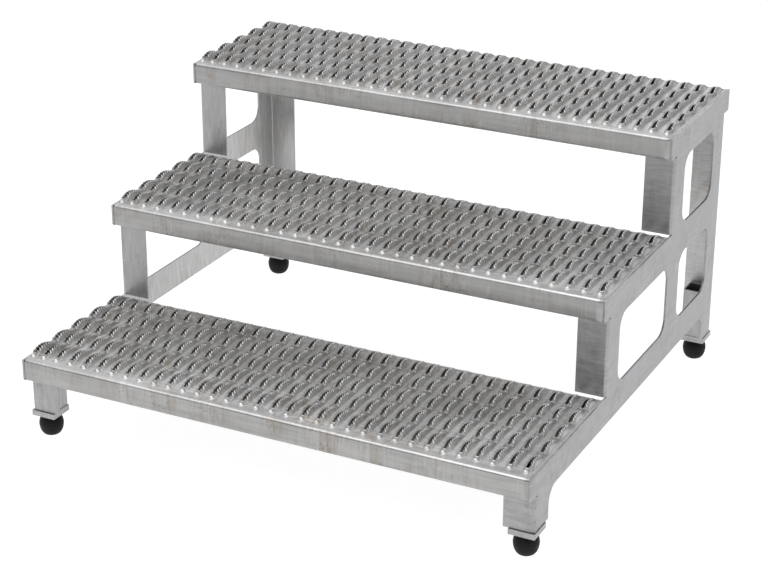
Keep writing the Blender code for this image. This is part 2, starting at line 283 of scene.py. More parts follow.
def aluminium(name, base, roughness, grain, streak, offset, stain=0.3, specks=0.4, dust_and_painted_light=False,
              painted_edge_highlight=False):
    """Mill-finish aluminium: grain and streak are how fast two sets of lines change along X, Y and Z."""
    n = Nodes(name)
    cloud = n.noise((7, 7, 7), detail=5, roughness=0.6, offset=offset)
    patch = n.noise((55, 55, 16), detail=5, roughness=0.68, offset=offset + 3, distortion=0.6)
    cluster = n.noise((14, 14, 14), detail=2, offset=offset + 7)
    lines = n.maths("MULTIPLY", n.noise(grain, detail=4, roughness=0.65, offset=offset + 5), 0.60)
    streaks = n.maths("SUBTRACT", n.noise(streak, detail=3, roughness=0.6, offset=offset + 13), 0.5)
    streaks = n.maths("MULTIPLY", streaks, n.spread(cluster, 0.42, 0.60, 0.10, 0.75))
    lines = n.maths("ADD", lines, n.maths("ADD", streaks, 0.20))
    grit = n.noise((900, 900, 900), detail=2, offset=offset + 9)
    dots = n.noise((330, 330, 240), detail=2, offset=offset + 11)
    scratch_scale = tuple(g * 0.35 + 18 for g in reversed(grain))
    scratches = n.noise(scratch_scale, detail=2, roughness=0.4, offset=offset + 17)

    colour = n.mix(n.spread(cloud, 0.34, 0.66), tinted(base, 0.88), tinted(base, 1.08))
    warm = (base[0] * 0.76, base[1] * 0.68, base[2] * 0.59)
    stained = n.maths("MULTIPLY", n.spread(patch, 0.48, 0.64), n.spread(cluster, 0.38, 0.58, 0.3, 1.0))
    pitted = n.maths("MULTIPLY", n.spread(dots, 0.62, 0.70), n.spread(cluster, 0.46, 0.62))
    if dust_and_painted_light:
        share_left = n.spread(n.part(n.place, "X"), *CLEAN_END, 1.0, 0.15)
        stained = n.maths("MULTIPLY", stained, share_left)
        pitted = n.maths("MULTIPLY", pitted, share_left)
    colour = n.mix(n.maths("MULTIPLY", stained, stain), colour, warm)
    colour = n.scaled(colour, n.spread(lines, 0.42, 0.58, 0.87, 1.12))
    colour = n.mix(n.maths("MULTIPLY", pitted, specks), colour, tinted(base, 0.30))
    colour = n.mix(n.spread(scratches, 0.70, 0.74, 0.0, 0.35), colour, tinted(base, 1.3))
    rough = n.maths("ADD", n.spread(cloud, 0.3, 0.7, roughness - 0.05, roughness + 0.06),
                    n.spread(lines, 0.38, 0.62, -0.05, 0.06))
    if painted_edge_highlight:
        # painted highlight on the side sheets' top edges where they face up
        edge_highlight = n.maths("MULTIPLY", n.upward(), n.attribute("painted_top_light"))
        colour = n.scaled(colour, n.spread(edge_highlight, 0.0, 1.0, 1.0, EDGE_HIGHLIGHT_GAIN))
    if dust_and_painted_light:
        # painted light: the decks' tops are painted brighter than their bends and edges
        colour = n.scaled(colour, n.spread(n.attribute("painted_top_light"), 0.0, 1.0, 1.0, TOP_LIGHT_GAIN))
        # painted highlight where the attribute is above zero, with smoother metal there
        painted_highlight = n.maths("MAXIMUM", n.attribute("dust_and_painted_light"), 0.0)
        # painted shade where the attribute is below zero, inside the slots and round their mouths
        painted_slot_shade = n.spread(n.attribute("dust_and_painted_light"), -0.25, 0.05, 0.97, 0.0)
        colour = n.mix(n.maths("MULTIPLY", painted_highlight, 0.8), colour, tinted(base, 2.0))
        colour = n.mix(painted_slot_shade, colour, SLOT_SHADE_COLOUR)
        rough = n.maths("SUBTRACT", rough, n.maths("MULTIPLY", painted_highlight, 0.10))
    n.join(colour, n.shader.inputs["Base Color"])
    n.join(rough, n.shader.inputs["Roughness"])
    n.shader.inputs["Metallic"].default_value = 1.0
    height = n.maths("ADD", n.maths("MULTIPLY", lines, 0.6), n.maths("MULTIPLY", grit, 0.4))
    n.bump(height, 0.22, 0.00025)
    return n.material


def rubber():
    n = Nodes("black_rubber")
    cloud = n.noise((60, 60, 60), detail=4, roughness=0.6, offset=2)
    grit = n.noise((1500, 1500, 1500), detail=2, offset=4)
    dust = n.spread(n.noise((140, 140, 30), detail=5, roughness=0.7, offset=6), 0.56, 0.8, 0.0, 0.35)
    colour = n.mix(n.spread(cloud, 0.3, 0.7), (0.004, 0.004, 0.0042), (0.007, 0.007, 0.0072))
    colour = n.mix(n.maths("MULTIPLY", dust, n.attribute("dust_and_painted_light")), colour, (0.055, 0.052, 0.048))
    n.join(colour, n.shader.inputs["Base Color"])
    n.join(n.spread(cloud, 0.3, 0.7, 0.52, 0.70), n.shader.inputs["Roughness"])
    n.shader.inputs["Specular IOR Level"].default_value = 0.22
    n.bump(n.maths("ADD", grit, cloud), 0.25, 0.0002)
    return n.material


def zinc():
    n = Nodes("zinc_plate")
    cloud = n.noise((120, 120, 120), detail=4, roughness=0.6, offset=1)
    lines = n.noise((400, 400, 2600), detail=3, offset=7)
    colour = n.mix(n.spread(cloud, 0.35, 0.65), (0.50, 0.50, 0.47), (0.66, 0.66, 0.65))
    n.join(n.scaled(colour, n.spread(lines, 0.3, 0.7, 0.9, 1.08)), n.shader.inputs["Base Color"])
    n.join(n.spread(cloud, 0.3, 0.7, 0.24, 0.42), n.shader.inputs["Roughness"])
    n.shader.inputs["Metallic"].default_value = 1.0
    n.bump(lines, 0.2, 0.0001)
    return n.material


def weld_metal():
    n = Nodes("weld_bead")
    cloud = n.noise((260, 260, 260), detail=4, roughness=0.6, offset=1)
    soot = n.noise((70, 70, 70), detail=4, roughness=0.7, offset=5)
    colour = n.mix(n.spread(cloud, 0.35, 0.65), (0.44, 0.44, 0.44), (0.60, 0.60, 0.61))
    colour = n.mix(n.spread(soot, 0.5, 0.75, 0.0, 0.5), colour, (0.22, 0.21, 0.20))
    n.join(colour, n.shader.inputs["Base Color"])
    n.join(n.spread(cloud, 0.3, 0.7, 0.30, 0.46), n.shader.inputs["Roughness"])
    n.shader.inputs["Metallic"].default_value = 1.0
    n.bump(cloud, 0.3, 0.0002)
    return n.material


# --- mesh tools ----------------------------------------------------------------------------------

def finish_piece(obj, material, slot, body, *replaced, angle=30):
    obj.data.materials.clear()
    obj.data.materials.append(material)
    obj.data.shade_smooth()
    obj.data.set_sharp_from_angle(angle=math.radians(angle))
    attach(obj, body)
    if replaced:
        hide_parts(*replaced)
    return obj


def object_from(name, bm):
    mesh = bpy.data.meshes.new(name)
    bm.to_mesh(mesh)
    bm.free()
    obj = bpy.data.objects.new(name, mesh)
    bpy.context.scene.collection.objects.link(obj)
    return obj


def soften_edges(obj, width, segments=2, angle=40):
    bevel = obj.modifiers.new("soft_edges", "BEVEL")
    bevel.width = width
    bevel.segments = segments
    bevel.limit_method = "ANGLE"
    bevel.angle_limit = math.radians(angle)
    bevel.harden_normals = True


def thicken(obj, thickness, even=True):
    solid = obj.modifiers.new("sheet", "SOLIDIFY")
    solid.thickness = thickness
    solid.offset = -1
    solid.use_even_offset = even


def circle(radius, steps):
    return [Vector((radius * math.cos(math.tau * i / steps), radius * math.sin(math.tau * i / steps)))
            for i in range(steps)]


def rounded_loop(corners, steps):
    """Points of a closed polygon of (u, v, radius) corners; a radius turns its corner into an arc."""
    points = []
    for i, (u, v, radius) in enumerate(corners):
        here = Vector((u, v))
        if not radius:
            points.append(here)
            continue
        back = (Vector(corners[i - 1][:2]) - here).normalized()
        ahead = (Vector(corners[(i + 1) % len(corners)][:2]) - here).normalized()
        half = back.angle(ahead) / 2
        centre = here + (back + ahead).normalized() * radius / math.sin(half)
        arm = here + back * radius / math.tan(half) - centre
        turn = arm.angle_signed(here + ahead * radius / math.tan(half) - centre)
        for step in range(steps + 1):
            spoke = arm.copy()
            spoke.rotate(Matrix.Rotation(-turn * step / steps, 2))
            points.append(centre + spoke)
    return points


def square(size, radius, steps=5):
    half = size / 2
    signs = ((-1, -1), (1, -1), (1, 1), (-1, 1))
    return rounded_loop([(u * half, v * half, radius) for u, v in signs], steps)


def fill_loops(bm, loops, place):
    rings = []
    edges = []
    for loop in loops:
        ring = [bm.verts.new(place(p)) for p in loop]
        edges += [bm.edges.new((ring[i - 1], ring[i])) for i in range(len(ring))]
        rings.append(ring)
    bmesh.ops.triangle_fill(bm, edges=edges, use_beauty=True)
    return rings


def add_strip(bm, ends, points):
    new = [bm.verts.new(p) for p in points]
    bm.faces.new((ends[0], ends[1], new[1], new[0]))
    return new


def face_towards(bm, direction):
    bmesh.ops.recalc_face_normals(bm, faces=bm.faces)
    bm.normal_update()
    largest = max(bm.faces, key=lambda f: f.calc_area())
    if largest.normal.dot(direction) < 0:
        bmesh.ops.reverse_faces(bm, faces=bm.faces)


def prism(name, loops, low, high, centre):
    bm = bmesh.new()
    fill_loops(bm, loops, lambda p: Vector((centre[0] + p.x, centre[1] + p.y, low)))
    grown = bmesh.ops.extrude_face_region(bm, geom=bm.faces[:])
    top = [v for v in grown["geom"] if isinstance(v, bmesh.types.BMVert)]
    bmesh.ops.translate(bm, verts=top, vec=(0, 0, high - low))
    bmesh.ops.recalc_face_normals(bm, faces=bm.faces)
    return object_from(name, bm)


def swept_rings(name, rings, closed_ends=True):
    """A body skinned over equal rings of points."""
    bm = bmesh.new()
    made = [[bm.verts.new(p) for p in ring] for ring in rings]
    count = len(made[0])
    for lower, upper in zip(made, made[1:]):
        for i in range(count):
            j = (i + 1) % count
            bm.faces.new((lower[i], lower[j], upper[j], upper[i]))
    if closed_ends:
        bm.faces.new(made[0][::-1])
        bm.faces.new(made[-1])
    bmesh.ops.recalc_face_normals(bm, faces=bm.faces)
    return object_from(name, bm)


def turned(name, profile, centre, steps=64):
    """A body of revolution; profile points are (radius, height), and the ends lie on the axis."""
    bm = bmesh.new()
    rings = []
    for radius, height in profile:
        points = circle(radius, steps) if radius > 0 else [Vector((0, 0))]
        rings.append([bm.verts.new((centre[0] + p.x, centre[1] + p.y, height)) for p in points])
    for lower, upper in zip(rings, rings[1:]):
        for i in range(steps):
            j = (i + 1) % steps
            quad = [lower[i % len(lower)], lower[j % len(lower)]]
            quad += [upper[j % len(upper)], upper[i % len(upper)]]
            bm.faces.new(list(dict.fromkeys(quad)))
    bmesh.ops.recalc_face_normals(bm, faces=bm.faces)
    return object_from(name, bm)


def set_point_attribute(obj, value_at, name="dust_and_painted_light"):
    """Writes an attribute that the materials read, from each vertex's place."""
    layer = obj.data.attributes.new(name, "FLOAT", "POINT")
    layer.data.foreach_set("value", [value_at(v.co) for v in obj.data.vertices])


# --- side frames ---------------------------------------------------------------------------------

def flange_edges():
    """(y, low, high, way) of each flange's bend line; way is -1 for a front flange and 1 for the rear."""
    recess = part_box("leg_tube_front_left")[0].y - FRONT - SIDE_SHEET - GAP
    edges = []
    for step, deck in enumerate(DECKS):
        low = LEG_BOTTOM if step == 0 else DECKS[step - 1] + FLANGE_GAP
        edges.append((FRONTS[step] + recess + SIDE_BEND, low, deck - TREAD_EDGE - RELIEF, -1))
    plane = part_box("leg_tube_rear_left")[1].y + SIDE_SHEET + GAP
    edges.append((plane - SIDE_BEND, LEG_BOTTOM, DECKS[-1] - TREAD_EDGE - RELIEF, 1))
    return edges


def side_outline(edges):
    corners = []
    *fronts, rear = edges
    for step, (y, low, high, _) in enumerate(fronts):
        deck = DECKS[step]
        ear = deck - TREAD_EDGE
        corners += [(y, low, 0), (y, high, 0), (y + RELIEF, high, 0), (y + RELIEF, ear, 0)]
        corners += [(FRONTS[step], ear, EAR_RADIUS), (FRONTS[step], deck, 0)]
        if step + 1 < len(fronts):
            corners.append((fronts[step + 1][0], deck, 0))
    y, low, high, _ = rear
    top = DECKS[-1]
    corners += [(REAR, top, 0), (REAR, top - TREAD_EDGE, EAR_RADIUS), (y - RELIEF, top - TREAD_EDGE, 0)]
    corners += [(y - RELIEF, high, 0), (y, high, 0), (y, low, 0)]
    rail = DECKS[0] - RAIL_DROP
    leg_front = y + SIDE_BEND - MEMBER
    leg_rear = fronts[0][0] - SIDE_BEND + MEMBER
    corners += [(leg_front, low, 0), (leg_front, rail, CORNER_RADIUS)]
    corners += [(leg_rear, rail, CORNER_RADIUS), (leg_rear, low, 0)]
    return rounded_loop(corners, 10)


def side_windows(edges):
    rear = edges[-1][0] + SIDE_BEND - MEMBER
    front = edges[1][0] - SIDE_BEND + MEMBER
    post = [FRONT + y for y in MIDDLE_POST]
    spans = [(front, post[0], 0), (post[1], rear, 0), (post[1], rear, 1)]
    loops = []
    for near, far, step in spans:
        sill = DECKS[step] + RAIL_OVER
        head = DECKS[step + 1] - MEMBER
        box = [(near, sill), (far, sill), (far, head), (near, head)]
        loops.append(rounded_loop([(y, z, CORNER_RADIUS) for y, z in box], 12))
    return loops


def side_frame(side, material, inner):
    way = SIDES[side]

    def place(inwards, y, z):
        return Vector((way * (HALF_WIDTH - inwards), y, z))

    bm = bmesh.new()
    edges = flange_edges()
    outline = side_outline(edges)
    rings = fill_loops(bm, [outline, *side_windows(edges)], lambda p: place(0, p.x, p.y))
    bend_steps = 8
    for y, low, high, turn in edges:
        ends = [rings[0][min(range(len(outline)), key=lambda i: (outline[i] - Vector((y, z))).length)]
                for z in (low, high)]
        for step in range(1, bend_steps + 1):
            angle = math.pi / 2 * step / bend_steps
            inwards = SIDE_BEND * (1 - math.cos(angle))
            along = y + turn * SIDE_BEND * math.sin(angle)
            ends = add_strip(bm, ends, [place(inwards, along, z) for z in (low, high)])
        add_strip(bm, ends, [place(FLANGE, along, z) for z in (low, high)])
    face_towards(bm, Vector((way, 0, 0)))
    obj = object_from("side_sheet_" + side, bm)
    # painted highlight: marks the sheet's edges at each deck's height, which the material paints brighter
    # where they face up
    set_point_attribute(obj, lambda co: float(min(abs(co.z - deck) for deck in DECKS) < GAP), "painted_top_light")
    thicken(obj, SIDE_SHEET)
    obj.modifiers["sheet"].material_offset = 1
    soften_edges(obj, 0.45 * MM)
    finish_piece(obj, material, "frame_aluminium", STAND, side + "_side_frame")
    obj.data.materials.append(inner)
    return obj


# --- treads --------------------------------------------------------------------------------------

ACROSS = (0.0, 0.20, 0.48, 0.72, 0.89, 1.0)  # shares of the way from a slot's lip to its rib's foot
APRON = 1.5   # stands for the line just past a rib's foot, where the flat valley begins
VALLEY = 2.0  # and for the middle of the valley between two ribs
# Painted shade: how much of the decks' painted light is taken off the ribs' steep sides, the saddles, nubs,
# bend strips and slot mouths
SHADE_ACROSS = {0.0: 0.7, 0.89: 0.8, 1.0: 0.2, APRON: 0.0, VALLEY: 0.0}  # 1 elsewhere across a rib
FLANK_SHADE = 0.46
SADDLE_SHADE = 1.8  # times the painted shade of the arches' own sides, between two slots
NUB_SHADE = 0.55
STRIP_SHADE = 0.22  # painted shade of the plain strip along each bend
MOUTH_SHARE = 0.05  # of a slot's length, whose drawn corners get more painted shade still
MOUTH_PAINTED_SHADE = 0.75
MOUTH_SHADE = -0.12  # painted shade: below zero the metal is painted darker towards the slot's inside


def smooth(share):
    share = max(0.0, min(1.0, share))
    return share * share * (3 - 2 * share)


def row_stations(length):
    """(v, slot share, tooth) along one row of the pattern, v counted from its nub's middle."""
    stations = [(v * MM, None, 0) for v in (0.0, 1.3, 2.8, 4.4)]
    steps = 4 * TEETH
    shares = [0.0, BLUNT_END] + [i / steps for i in range(1, steps + 1)]
    for i, share in enumerate(shares):
        notched = 2 < i < len(shares) - 1 and i % 4 in (0, 1)
        stations.append((SLOT_LEAD + length * share, share, 1 if notched else 0))
    stations += [(ROW_PITCH - v * MM, None, 0) for v in (2.0, 1.0)]
    return stations


def deck_stations():
    """(distance from the plank's front, slot share, tooth) of every fine row of the deck."""
    stations = [(FIRST_NUB - v * MM, None, 0) for v in (9.0, 5.4, 4.4, 2.8, 1.3)]
    for row in range(ROWS):
        start = FIRST_NUB + row * ROW_PITCH
        last = row == ROWS - 1
        for v, share, tooth in row_stations(LAST_SLOT_LENGTH if last else SLOT_LENGTH):
            if not (last and share is None and v > SLOT_LENGTH):
                stations.append((start + v, share, tooth))
    end = stations[-1][0]
    stations += [(end + share * RIB_FADE, None, 0) for share in (0.35, 0.7, 1.0)]
    return stations


def rib_shape(y):
    """(crown height, half-width) of the plain rib at a distance from the plank's front."""
    end = FIRST_NUB + (ROWS - 1) * ROW_PITCH + SLOT_LEAD + LAST_SLOT_LENGTH + RIB_FADE
    fade = smooth((y - FIRST_NUB) / (7 * MM)) * smooth((end - y) / RIB_FADE)
    away = abs((y - FIRST_NUB + ROW_PITCH / 2) % ROW_PITCH - ROW_PITCH / 2)
    knot = KNOT_HEIGHT * smooth(1 - away / KNOT_REACH)
    half = RIB_HALF * (0.75 + 0.25 * smooth((y - FIRST_NUB) / (16 * MM)))
    return (SADDLE_HEIGHT + knot) * fade, half


def arch(share):
    """How far up its arch a slot's lip is, 0 to 1."""
    return math.sin(math.pi * share ** ARCH_SKEW) if share is not None and 0 < share < 1 else 0.0


def dome(distance, height, reach):
    share = distance / reach
    return height * (1 - share * share) ** NUB_FULLNESS if share < 1 else 0.0


def column_layout(left, right):
    """(centre, left valley, right valley) of each column of slots, in X."""
    centres = [x - HALF_WIDTH for x in END_COLUMNS]
    centres += [FIRST_REGULAR_COLUMN + i * COLUMN_PITCH - HALF_WIDTH for i in range(REGULAR_COLUMNS)]
    lines = [left] + [(a + b) / 2 for a, b in zip(centres, centres[1:])] + [right]
    return [(c, lines[i], lines[i + 1]) for i, c in enumerate(centres)]


def deck_point(centre, valley, across, y, station):
    """(x, height, painted light) of a deck point, the painted light being a highlight above zero and shade
    below; across counts from the lip, or is APRON or VALLEY.
    """
    _, share, tooth = station
    way = 1 if valley > centre else -1
    room = abs(valley - centre)
    crown, rib_half = rib_shape(y)
    slotted = share is not None and 0 < share < 1
    half = 0.0
    if slotted:
        closing = min(1.0, (1 - share) / SLOT_CLOSE) ** 0.5
        half = (SLOT_NARROW + SLOT_MOUTH * (1 - share) ** 3 + TOOTH_SPREAD * tooth) * closing
        crown += (ARCH_HEIGHT - crown) * arch(share)
    foot = min(rib_half, room * 0.9)
    places = {APRON: min(foot + APRON_REACH, room * 0.95), VALLEY: room}
    x = places.get(across, half + across * (foot - half))
    lift = crown * (1 - min(1.0, x / rib_half) ** RIB_FULLNESS)
    dust_and_painted_light = 0.0
    if slotted and across == 0:
        lift += TOOTH_RISE - TOOTH_DEPTH * tooth
    elif slotted and across == ACROSS[1]:
        lift -= TOOTH_ROOT * TOOTH_DEPTH * tooth
    if slotted and across >= 1:
        lift -= RIPPLE_DEPTH * tooth
    # painted shade round the slot's mouth
    if share is not None and share < MOUTH_SHARE and across <= ACROSS[1]:
        dust_and_painted_light = MOUTH_SHADE if across == 0 else 0.4 * MOUTH_SHADE
    nub = dome(math.hypot(x, y - FIRST_NUB), NUB_HEIGHT, NUB_REACH)
    if nub > lift:
        lift = nub
        # painted highlight on the nub's tip
        dust_and_painted_light = NUB_HIGHLIGHT * (nub / NUB_HEIGHT) ** 4
    elif not slotted and across < ACROSS[2]:
        # painted highlight on the ribs' tops between the slots
        dust_and_painted_light = CROWN_HIGHLIGHT * crown / (SADDLE_HEIGHT + KNOT_HEIGHT)
    return centre + way * x, lift, dust_and_painted_light


def edge_profile():
    """(outwards, height) points down a plank's edge, from the deck's bend line to the lip's end."""
    steps = 6
    points = []
    for step in range(1, steps + 1):
        angle = math.pi / 2 * step / steps
        points.append((TREAD_BEND * math.sin(angle), -TREAD_BEND * (1 - math.cos(angle))))
    for step in range(steps + 1):
        angle = math.pi / 2 * step / steps
        points.append((TREAD_BEND * math.cos(angle), TREAD_BEND * (1 - math.sin(angle)) - TREAD_EDGE))
    points.append((TREAD_BEND - RETURN_LIP, -TREAD_EDGE))
    return points


def plank(name, material, underside):
    low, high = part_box(name)
    deck = low.z + TREAD_EDGE
    layout = column_layout(low.x, high.x)
    verts = []
    painted_light_values = []
    painted_top_light = []
    faces = []
    edge_rows = []

    def add(x, y, z, dust_and_painted_light=0.0, painted_shade=0.0):
        verts.append((x, y, z))
        painted_light_values.append(dust_and_painted_light)
        # painted light, full on the deck's top and fading down the bend; painted shade lowers it
        painted_top_light.append(smooth(1 + 2 * (z - deck) / TREAD_BEND) * (1 - painted_shade))
        return len(verts) - 1

    def at(point, y, painted_shade=0.0):
        x, lift, dust_and_painted_light = point
        return add(x, low.y + y, deck + lift, dust_and_painted_light, painted_shade)

    def flank(centre, valley, across, y, station):
        """A deck point, with more painted shade the steeper its rib's side is there."""
        crown, _ = rib_shape(y)
        painted_shade = FLANK_SHADE * SHADE_ACROSS.get(across, 1.0) * min(1.0, crown / SADDLE_HEIGHT)
        painted_shade *= SADDLE_SHADE + (1 - SADDLE_SHADE) * arch(station[1])
        if y < FIRST_NUB:
            painted_shade = max(painted_shade, STRIP_SHADE)
        point = deck_point(centre, valley, across, y, station)
        # painted shade on the nubs, and more of it at the slots' mouths
        if math.hypot(point[0] - centre, y - FIRST_NUB) < NUB_REACH:
            painted_shade = NUB_SHADE
        elif station[1] is not None and station[1] < MOUTH_SHARE and across <= 1:
            painted_shade = MOUTH_PAINTED_SHADE
        return at(point, y, painted_shade)

    def wall(centre, valley, y, station, way):
        """Nodes down the wall inside a slot, below its lip: a painted highlight on the cut edge, then the
        sheet painted dark as shade.
        """
        x, lift, _ = deck_point(centre, valley, 0.0, y, station)
        _, share, tooth = station
        edge = (LIP_EDGE + (LIP_EDGE_END - LIP_EDGE) * smooth(share * 2)) * (1 - 0.8 * tooth)
        # painted highlight on the lip's cut edge, fading away at the teeth
        lip_highlight = (1.0 - 0.9 * tooth) * smooth(share * TEETH)
        # above zero paints a highlight on the cut edge, below zero paints the wall dark as shade
        levels = ((CUT_EDGE, 0.0, lip_highlight), (edge, 0.0, 0.5 * lip_highlight), (edge + 0.35 * MM, 0.0, -0.3),
                  (lift + WALL_DEPTH, WALL_SHIFT, -1.0))
        return [at((x + way * shift, lift - drop, value), y) for drop, shift, value in levels]

    def join_strips(before, after):
        for i in range(len(before) - 1):
            faces.append((before[i], before[i + 1], after[i + 1], after[i]))

    previous = None
    previous_walls = None
    for station in deck_stations():
        y, share, _ = station
        row = []
        walls = []
        valley = None
        for centre, left, right in layout:
            first = flank(centre, left, VALLEY, y, station) if valley is None else valley
            left_half = [flank(centre, left, s, y, station) for s in (APRON, *ACROSS[::-1])]
            right_half = [flank(centre, right, s, y, station) for s in (*ACROSS, APRON, VALLEY)]
            if share is None or share in (0, 1):
                right_half[0] = left_half[-1]
            if share is not None:
                left_wall = wall(centre, left, y, station, -1)
                right_wall = left_wall if share in (0, 1) else wall(centre, right, y, station, 1)
                walls += [[left_half[-1], *left_wall], [*right_wall[::-1], right_half[0]]]
            row += [[first, *left_half], right_half]
            valley = right_half[-1]
        if previous:
            for before, after in zip(previous, row):
                join_strips(before, after)
        else:
            edge_rows.append(row)
        if walls and previous_walls:
            for before, after in zip(previous_walls, walls):
                join_strips(before, after)
        previous = row
        previous_walls = walls
    edge_rows.append(previous)

    bend_lines = ((low.y + TREAD_BEND, -1), (high.y - TREAD_BEND, 1))
    for row, (bend_line, way) in zip(edge_rows, bend_lines):
        flat_end = bend_line - way * FLAT_BAND
        coarse = [add(verts[row[0][0]][0], flat_end, deck, painted_shade=STRIP_SHADE)]
        for half in row:
            coarse.append(add(verts[half[-1]][0], flat_end, deck, painted_shade=STRIP_SHADE))
            faces.append((*half, coarse[-1], coarse[-2]))
        for out, height in [(0.0, 0.0), *edge_profile()]:
            # painted highlight along the bend
            edge_highlight = BEND_HIGHLIGHT * math.sin(math.pi * min(1.0, -height / TREAD_BEND))
            y = bend_line + way * out
            ahead = [add(verts[i][0], y, deck + height, edge_highlight, STRIP_SHADE) for i in coarse]
            faces += [(coarse[i], coarse[i + 1], ahead[i + 1], ahead[i]) for i in range(len(coarse) - 1)]
            coarse = ahead

    mesh = bpy.data.meshes.new("plank_" + name.split("_")[1])
    mesh.from_pydata(verts, [], faces)
    for attribute, values in (("dust_and_painted_light", painted_light_values), ("painted_top_light", painted_top_light)):
        mesh.attributes.new(attribute, "FLOAT", "POINT").data.foreach_set("value", values)
    bm = bmesh.new()
    bm.from_mesh(mesh)
    bmesh.ops.delete(bm, geom=[v for v in bm.verts if not v.link_faces], context="VERTS")
    bmesh.ops.recalc_face_normals(bm, faces=bm.faces)
    bm.normal_update()
    if max(bm.faces, key=lambda f: f.calc_center_median().z).normal.z < 0:
        bmesh.ops.reverse_faces(bm, faces=bm.faces)
    bm.to_mesh(mesh)
    bm.free()
    obj = bpy.data.objects.new(mesh.name, mesh)
    bpy.context.scene.collection.objects.link(obj)
    thicken(obj, TREAD_SHEET, even=False)
    obj.modifiers["sheet"].material_offset = 1
    obj.modifiers["sheet"].material_offset_rim = 1
    finish_piece(obj, material, "tread_aluminium", STAND, name, angle=38)
    obj.data.materials.append(underside)
    return obj


# --- legs and feet -------------------------------------------------------------------------------

def middle_of(node):
    low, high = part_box(node)
    return (low + high) / 2


def leg_tube(corner, material):
    node = "leg_tube_" + corner
    low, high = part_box(node)
    size = high.x - low.x
    loops = [square(size, TUBE_RADIUS), square(size - 2 * TUBE_WALL, CORNER_SOFTNESS)]
    obj = prism("socket_" + corner, loops, low.z, high.z, middle_of(node))
    soften_edges(obj, 0.35 * MM)
    return finish_piece(obj, material, "tube_aluminium", STAND, node)


def foot_plate(corner, material):
    node = "foot_plate_" + corner
    low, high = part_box(node)
    loops = [square(high.x - low.x, CORNER_SOFTNESS, 3), circle(BORE_RADIUS, 48)]
    obj = prism("pad_plate_" + corner, loops, low.z, high.z, middle_of(node))
    soften_edges(obj, 0.5 * MM)
    return finish_piece(obj, material, "tube_aluminium", STAND, node)


def hex_nut(corner, material):
    """A chamfered hexagon with a plain bore."""
    node = "foot_nut_" + corner
    low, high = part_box(node)
    middle = middle_of(node)
    flats = (high.y - low.y) / 2
    tall = high.z - low.z
    steps = 48
    chamfer = flats * 0.13
    rings = []
    for height, reach in ((0, 0.93), (chamfer, 1.2), (tall - chamfer, 1.2), (tall, 0.93)):
        ring = []
        for i in range(steps):
            angle = math.tau * i / steps
            side = (angle + math.pi / 6) % (math.pi / 3) - math.pi / 6
            hexagon = flats / math.cos(side + math.pi / 6 if side < 0 else side - math.pi / 6)
            radius = min(hexagon, flats * reach)
            x = middle.x + radius * math.cos(angle)
            y = middle.y + radius * math.sin(angle)
            ring.append((x, y, low.z + height))
        rings.append(ring)
    for height in (tall, 0):
        rings.append([(middle.x + p.x, middle.y + p.y, low.z + height) for p in circle(BORE_RADIUS, steps)])
    rings.append(rings[0])
    obj = swept_rings("plate_nut_" + corner, rings, closed_ends=False)
    bm = bmesh.new()
    bm.from_mesh(obj.data)
    bmesh.ops.remove_doubles(bm, verts=bm.verts, dist=1e-6)
    bmesh.ops.recalc_face_normals(bm, faces=bm.faces)
    bm.to_mesh(obj.data)
    bm.free()
    return finish_piece(obj, material, "zinc_steel", STAND, node)


def threaded_stud(corner, material):
    """The stud's threaded shank above its round head."""
    node = "foot_stud_" + corner
    low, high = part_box(node)
    middle = middle_of(node)
    around = 32
    per_turn = 6
    length = high.z - low.z - HEAD_HEIGHT
    count = int(length / THREAD_PITCH * per_turn)
    rim = HEAD_RADIUS - HEAD_CHAMFER
    head = [(rim, 0), (HEAD_RADIUS, HEAD_CHAMFER)]
    head += [(HEAD_RADIUS, HEAD_HEIGHT - HEAD_CHAMFER), (rim, HEAD_HEIGHT)]
    rings = [[(middle.x + p.x, middle.y + p.y, low.z + z) for p in circle(r, around)] for r, z in head]
    for i in range(count + 1):
        ring = []
        for j in range(around):
            turn = (i / per_turn + j / around) % 1.0
            taper = min(1.0, (count - i) / per_turn * 0.8, i / per_turn + 0.3)
            r = SHANK_RADIUS - THREAD_DEPTH * (1 - taper) - THREAD_DEPTH * taper * abs(2 * turn - 1)
            angle = math.tau * j / around
            ring.append((middle.x + r * math.cos(angle), middle.y + r * math.sin(angle),
                         low.z + HEAD_HEIGHT + length * i / count))
        rings.append(ring)
    obj = swept_rings("threaded_stud_" + corner, rings)
    return finish_piece(obj, material, "zinc_steel", "stud_" + corner, node, angle=60)


def foot_outline(top, belly_radius):
    """(radius, height) from the middle of the sole up to the top of the neck."""
    points = [(0.0, 0.0), (FOOT_FLAT * 0.6, 0.0), (FOOT_FLAT, 0.0)]
    for step in range(1, 13):
        angle = math.pi / 2 * step / 12
        points.append((FOOT_FLAT + (belly_radius - FOOT_FLAT) * math.sin(angle),
                       FOOT_BELLY * (1 - math.cos(angle))))
    seam = belly_radius + MOULD_SEAM
    points += [(seam, FOOT_BELLY + 0.25 * MM), (seam, FOOT_BELLY + 0.6 * MM)]
    end = math.acos(NECK_RADIUS / belly_radius)
    shoulder = FOOT_BELLY + 0.85 * MM
    for step in range(11):
        angle = end * step / 10
        points.append((belly_radius * math.cos(angle), shoulder + belly_radius * math.sin(angle)))
    points.append((NECK_RADIUS - 0.15 * MM, points[-1][1] + 0.6 * MM))
    points += [(NECK_RADIUS, top - 0.8 * MM), (NECK_RADIUS - 0.25 * MM, top - 0.25 * MM)]
    points.append((NECK_RADIUS - 0.8 * MM, top))
    return points


